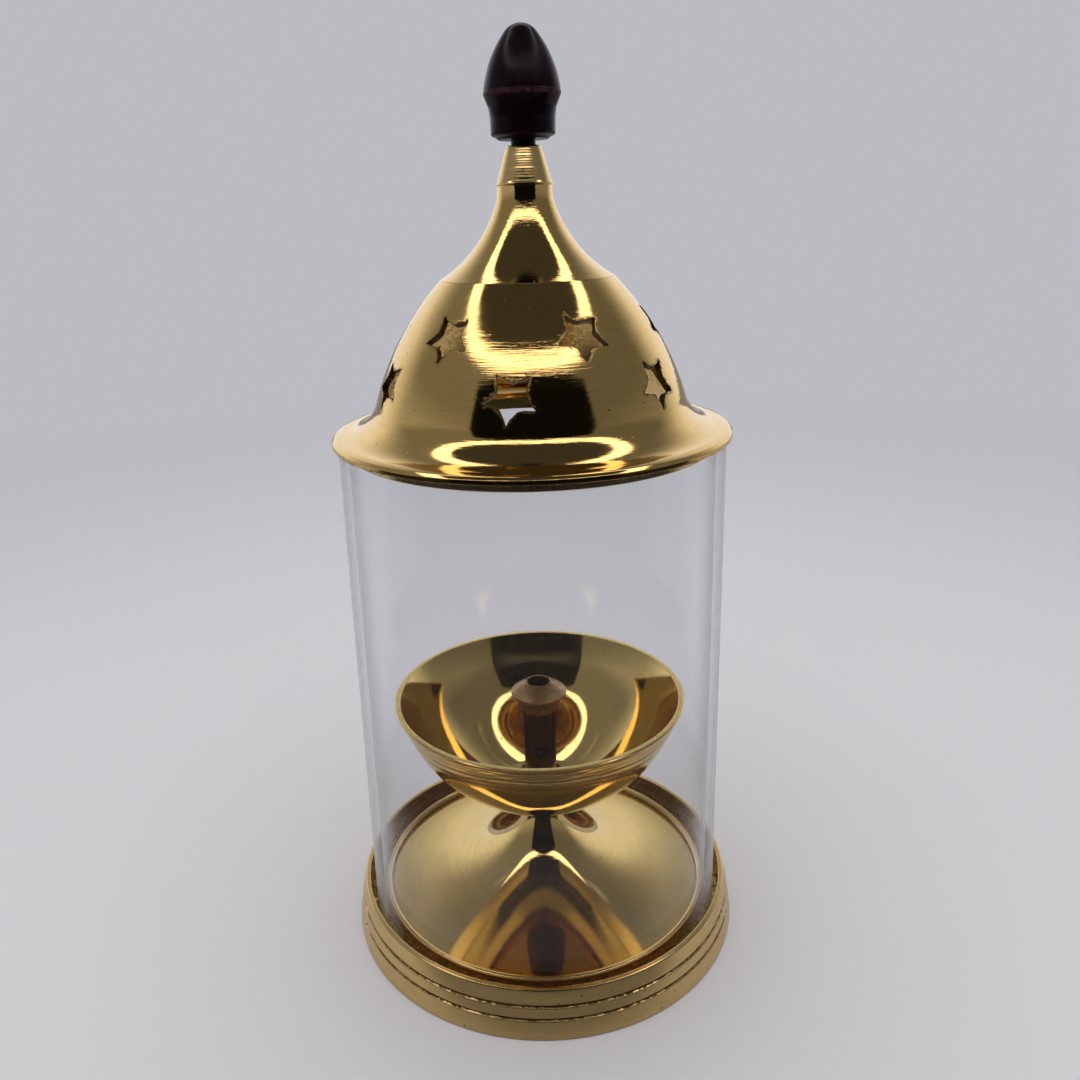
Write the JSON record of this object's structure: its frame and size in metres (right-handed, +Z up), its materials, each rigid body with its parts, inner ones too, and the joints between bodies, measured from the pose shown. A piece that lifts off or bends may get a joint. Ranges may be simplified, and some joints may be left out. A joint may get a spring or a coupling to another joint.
{
  "type": "covered oil lamp",
  "caption": "Brass oil lamp: a bowl with an upright wick tube stands on a trumpet foot inside a straight glass chimney, under a star-pierced domed lid with a pointed knob.",
  "frame": {"origin": "centre of the ring face that the lamp stands on", "axes": "+Z up along the lamp's turning axis, -Y towards the front, +X to the right seen from the front"},
  "size_m": [0.0994, 0.0994, 0.2166],
  "materials": {
    "polished_brass": "polished on the lathe, fine turning lines",
    "turned_brass": "turned, satin",
    "burner_brass": "heat-darkened brass",
    "clear_glass": "clear, fire-polished ends",
    "dark_knob": "moulded, dark purple-brown gloss",
    "plated_steel": "zinc-plated",
    "seal_fibre": "vulcanised fibre"
  },
  "bodies": {
    "base": {"base_tray": "turned_brass", "pedestal": "polished_brass", "tie_bolt": "plated_steel", "tie_bolt_washer": "plated_steel", "stem_stud": "plated_steel"},
    "bowl": {"oil_bowl": "polished_brass", "bowl_seal_washer": "seal_fibre"},
    "burner": {"wick_tube": "burner_brass", "wick_nozzle": "burner_brass"},
    "chimney": {"glass_chimney": "clear_glass"},
    "lid": {"dome_shell": "polished_brass", "dome_spire": "polished_brass", "neck_collar": "turned_brass", "lid_knob": "dark_knob", "knob_insert": "turned_brass", "knob_screw": "plated_steel", "knob_screw_washer": "plated_steel"}
  },
  "joints": [
    {"name": "bowl_lift", "type": "slide", "parent": "base", "child": "bowl", "axis": [0, 0, 1], "range_m": [0, 0.02]},
    {"name": "burner_lift", "type": "slide", "parent": "bowl", "child": "burner", "axis": [0, 0, 1], "range_m": [0, 0.032]},
    {"name": "chimney_lift", "type": "slide", "parent": "base", "child": "chimney", "axis": [0, 0, 1], "range_m": [0, 0.065]},
    {"name": "lid_lift", "type": "slide", "parent": "chimney", "child": "lid", "axis": [0, 0, 1], "range_m": [0, 0.06]}
  ]
}
